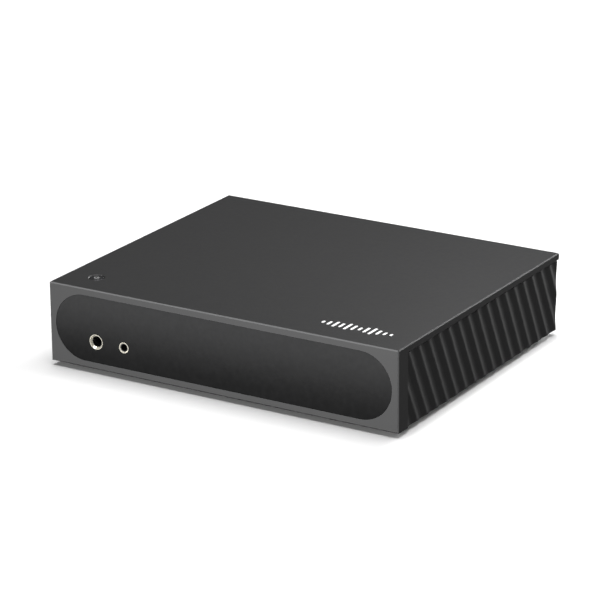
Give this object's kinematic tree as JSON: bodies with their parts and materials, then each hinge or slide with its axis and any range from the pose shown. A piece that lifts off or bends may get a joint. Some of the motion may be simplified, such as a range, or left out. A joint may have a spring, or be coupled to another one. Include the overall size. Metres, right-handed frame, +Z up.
{
  "type": "desktop digital-to-analogue converter",
  "caption": "Flat desktop audio converter: dark aluminium cover with a wide smoked window, gold headphone sockets, ribbed sides, a power button on top and rear sockets.",
  "frame": {"origin": "middle of the whole box's footprint, on the table plane under the feet", "axes": "+X to the right seen from the front, +Y to the back, +Z up"},
  "size_m": [0.23, 0.198, 0.051],
  "materials": {
    "cover_aluminium": "bead-blasted, anodised dark grey",
    "rib_aluminium": "machined ribs, anodised near black",
    "smoked_window": "polished smoked acrylic",
    "plate_steel": "fine black powder coat",
    "rear_aluminium": "anodised black, satin",
    "foot_rubber": "matt black rubber",
    "gold_plate": "polished pale gold plate",
    "socket_plastic": "black moulded, fine texture",
    "display_glass": "dark display panel on its board",
    "button_aluminium": "turned, anodised dark grey",
    "plunger_plastic": "red moulded",
    "circuit_board": "green solder mask",
    "chip_plastic": "black epoxy",
    "tinned_steel": "tin-plated folded steel",
    "relay_plastic": "cream moulded",
    "capacitor_can": "dark sleeved can",
    "ferrite": "dark grey ferrite and tape",
    "brass_pillar": "nickelled brass",
    "zinc_screw": "zinc-plated steel",
    "black_screw": "black oxide steel",
    "socket_metal": "die-cast, black",
    "insulator_plastic": "off-white moulded",
    "shutter_plastic": "dark grey moulded",
    "tongue_plastic": "black moulded",
    "inlet_plastic": "black moulded",
    "blade_metal": "nickel-plated brass",
    "fuse_glass": "glass tube with nickel caps",
    "wire_insulation": "wire insulation",
    "ribbon_plastic": "white flat cable"
  },
  "bodies": {
    "case": {"cover_shell": "cover_aluminium", "front_window": "smoked_window", "side_panel_right": "rib_aluminium", "side_panel_left": "rib_aluminium", "bottom_plate": "plate_steel", "rear_panel": "rear_aluminium", "foot_front_left": "foot_rubber", "foot_front_right": "foot_rubber", "foot_rear_left": "foot_rubber", "foot_rear_right": "foot_rubber", "jack_ring_large": "gold_plate", "jack_ring_small": "gold_plate", "headphone_jack_large": "socket_plastic", "headphone_jack_small": "socket_plastic", "display_module": "display_glass", "button_switch": "socket_plastic", "button_board": "circuit_board", "main_board": "circuit_board", "power_supply_board": "circuit_board", "headphone_board": "circuit_board", "dac_chips": "chip_plastic", "clock_oscillators": "tinned_steel", "output_relays": "relay_plastic", "electrolytic_capacitors": "capacitor_can", "streaming_module": "tinned_steel", "psu_transformer": "ferrite", "psu_capacitors": "capacitor_can", "psu_line_filter": "ferrite", "psu_heatsink": "rear_aluminium", "board_standoffs": "brass_pillar", "board_screws": "zinc_screw", "cover_screws": "black_screw", "side_panel_screws": "black_screw", "foot_screws": "black_screw", "rear_panel_screws": "black_screw", "xlr_screws": "black_screw", "xlr_output_left": "socket_metal", "xlr_output_right": "socket_metal", "xlr_contacts": "gold_plate", "rca_output_block": "socket_plastic", "coax_input_block": "socket_plastic", "rca_barrels": "gold_plate", "rca_insulators": "insulator_plastic", "optical_input": "socket_plastic", "usb_b_port": "tinned_steel", "hdmi_port": "tinned_steel", "usb_a_port": "tinned_steel", "port_tongues": "tongue_plastic", "ethernet_port": "tinned_steel", "mains_inlet": "inlet_plastic", "mains_inlet_pins": "blade_metal", "mains_wires": "wire_insulation", "supply_wires": "wire_insulation", "display_ribbon": "ribbon_plastic"},
    "power_button": {"power_button": "button_aluminium", "switch_plunger": "plunger_plastic"},
    "optical_shutter": {"optical_shutter": "shutter_plastic"},
    "fuse_drawer": {"fuse_drawer": "inlet_plastic", "fuse": "fuse_glass"}
  },
  "joints": [
    {"name": "power_button_press", "type": "slide", "parent": "case", "child": "power_button", "axis": [0, 0, -1], "range_m": [0, 0.0005], "stiffness_N_per_m": 2000, "springref_m": -0.0003},
    {"name": "optical_shutter_swing", "type": "hinge", "parent": "case", "child": "optical_shutter", "pos_m": [-0.0075, 0.0901, 0.0206], "axis": [-1, 0, 0], "range_deg": [0, 80], "stiffness_Nm_per_rad": 0.0002, "springref_deg": -11.46},
    {"name": "fuse_drawer_slide", "type": "slide", "parent": "case", "child": "fuse_drawer", "axis": [0, 1, 0], "range_m": [0, 0.022]}
  ]
}
